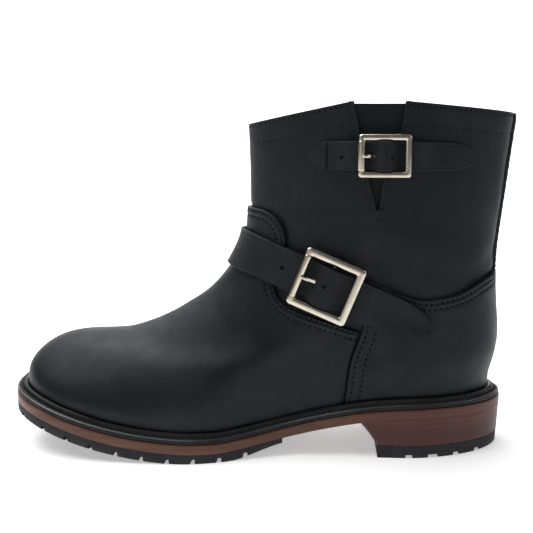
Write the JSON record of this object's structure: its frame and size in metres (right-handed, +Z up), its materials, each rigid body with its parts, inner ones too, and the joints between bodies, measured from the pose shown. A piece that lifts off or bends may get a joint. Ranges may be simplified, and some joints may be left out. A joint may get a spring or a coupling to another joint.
{
  "type": "engineer boot",
  "caption": "Short black leather engineer boot for the left foot, with a welted leather sole, lug rubber, a stacked heel and buckled instep and shaft straps.",
  "frame": {"origin": "on the floor under the middle of the boot's bounding box", "axes": "+Z up, +X towards the heel (the toe points to -X), the outer side with the buckles to -Y"},
  "size_m": [0.3032, 0.1054, 0.206],
  "materials": {
    "shaft_leather": "black oiled leather, low sheen",
    "vamp_leather": "black oiled leather, soft sheen on the toe",
    "gusset_leather": "thinner black leather",
    "strap_leather": "black strap leather with painted edges",
    "buckle_metal": "warm polished nickel",
    "welt_leather": "black welt with a polished edge",
    "midsole_leather": "brown stained edge, lightly polished",
    "heel_leather": "red brown stacked leather, polished edge",
    "sole_rubber": "matt black lug rubber",
    "insole_leather": "undyed vegetable tanned leather"
  },
  "bodies": {
    "root": {"upper": "shaft_leather", "vamp": "vamp_leather", "counter": "vamp_leather", "gusset": "gusset_leather", "back_piping": "shaft_leather", "instep_strap": "strap_leather", "instep_billet": "strap_leather", "instep_buckle_frame": "buckle_metal", "instep_buckle_roller": "buckle_metal", "instep_buckle_prong": "buckle_metal", "shaft_strap": "strap_leather", "shaft_billet": "strap_leather", "shaft_buckle_frame": "buckle_metal", "shaft_buckle_roller": "buckle_metal", "shaft_buckle_prong": "buckle_metal", "welt": "welt_leather", "midsole": "midsole_leather", "outsole_forefoot": "sole_rubber", "heel_stack": "heel_leather", "top_lift": "sole_rubber", "insole": "insole_leather"}
  },
  "joints": []
}
